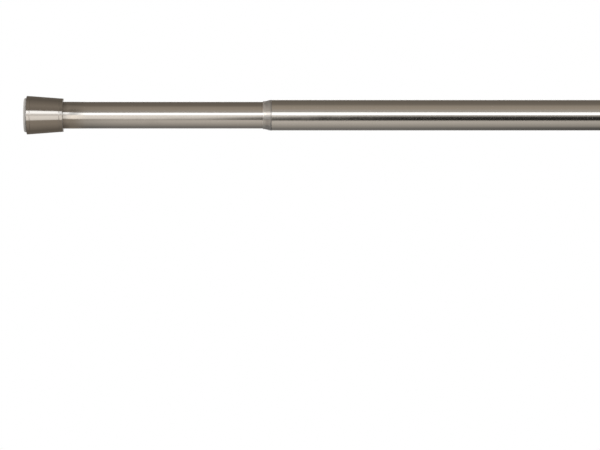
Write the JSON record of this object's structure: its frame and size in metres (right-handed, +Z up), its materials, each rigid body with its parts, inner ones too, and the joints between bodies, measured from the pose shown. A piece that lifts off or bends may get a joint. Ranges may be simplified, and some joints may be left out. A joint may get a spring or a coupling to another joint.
{
  "type": "telescopic tension rod",
  "caption": "Extending clothes rail wedged between two walls: thin tube slides in a thick one, set by an inner screw, spring and twist lock, with swivelling rubber pads.",
  "frame": {"origin": "centre of the left rubber pad's wall face, the end that the picture shows", "axes": "+X along the rod from the left pad to the right one, +Z up, -Y towards the viewer of the picture"},
  "size_m": [0.9679, 0.0402, 0.0402],
  "materials": {
    "brushed_nickel": "satin nickel plating with a fine brushed grain",
    "pad_rubber": "matt light grey rubber",
    "milky_plastic": "semi-gloss, milky, slightly see-through plastic",
    "plug_plastic": "plain moulded white plastic",
    "dark_plastic": "plain moulded dark grey plastic",
    "plain_steel": "plain drawn and turned steel, lightly oiled",
    "zinc_steel": "bright zinc plating"
  },
  "bodies": {
    "left_foot": {"wall_pad_left": "pad_rubber", "pad_carrier_left": "dark_plastic"},
    "thin_tube": {"swivel_screw_left": "zinc_steel", "end_plug_left": "plug_plastic", "end_cap_left": "brushed_nickel", "inner_tube": "brushed_nickel", "screw_nut": "plug_plastic", "glide_ring": "milky_plastic"},
    "screw": {"spindle": "plain_steel", "spindle_stop": "dark_plastic", "stop_pin": "zinc_steel", "seat_washer": "zinc_steel", "pressure_spring": "plain_steel", "end_washer": "zinc_steel", "end_screw": "plain_steel"},
    "lock_hub": {"lock_hub": "dark_plastic", "hub_cap": "plug_plastic", "hub_washer": "zinc_steel"},
    "lock_ring": {"lock_ring": "milky_plastic"},
    "thick_tube": {"outer_tube": "brushed_nickel", "tube_collar": "milky_plastic", "end_plug_right": "plug_plastic", "end_cap_right": "brushed_nickel", "swivel_screw_right": "zinc_steel"},
    "right_foot": {"wall_pad_right": "pad_rubber", "pad_carrier_right": "dark_plastic"}
  },
  "joints": [
    {"name": "tube_twist", "type": "hinge", "parent": "left_foot", "child": "thin_tube", "pos_m": [0.006, 0, 0], "axis": [-1, 0, 0], "range_deg": [0, 2520]},
    {"name": "screw_travel", "type": "slide", "parent": "left_foot", "child": "screw", "axis": [1, 0, 0], "range_m": [0, 0.028]},
    {"name": "spring_travel", "type": "slide", "parent": "screw", "child": "lock_hub", "axis": [1, 0, 0], "range_m": [-0.012, 0], "stiffness_N_per_m": 15700, "springref_m": 0.002, "deforming": ["pressure_spring"]},
    {"name": "lock_cam", "type": "hinge", "parent": "lock_hub", "child": "lock_ring", "pos_m": [0.698, 0, 0.0012], "axis": [1, 0, 0], "range_deg": [-15, 15]},
    {"name": "telescope", "type": "slide", "parent": "lock_hub", "child": "thick_tube", "axis": [1, 0, 0], "range_m": [-0.194, 0.26]},
    {"name": "right_foot_swivel", "type": "hinge", "parent": "thick_tube", "child": "right_foot", "pos_m": [0.9619, 0, 0], "axis": [1, 0, 0], "continuous": true}
  ],
  "couplings": [
    {"joint": "screw_travel", "follows": "tube_twist", "m_per_rad": 0.00063662}
  ]
}
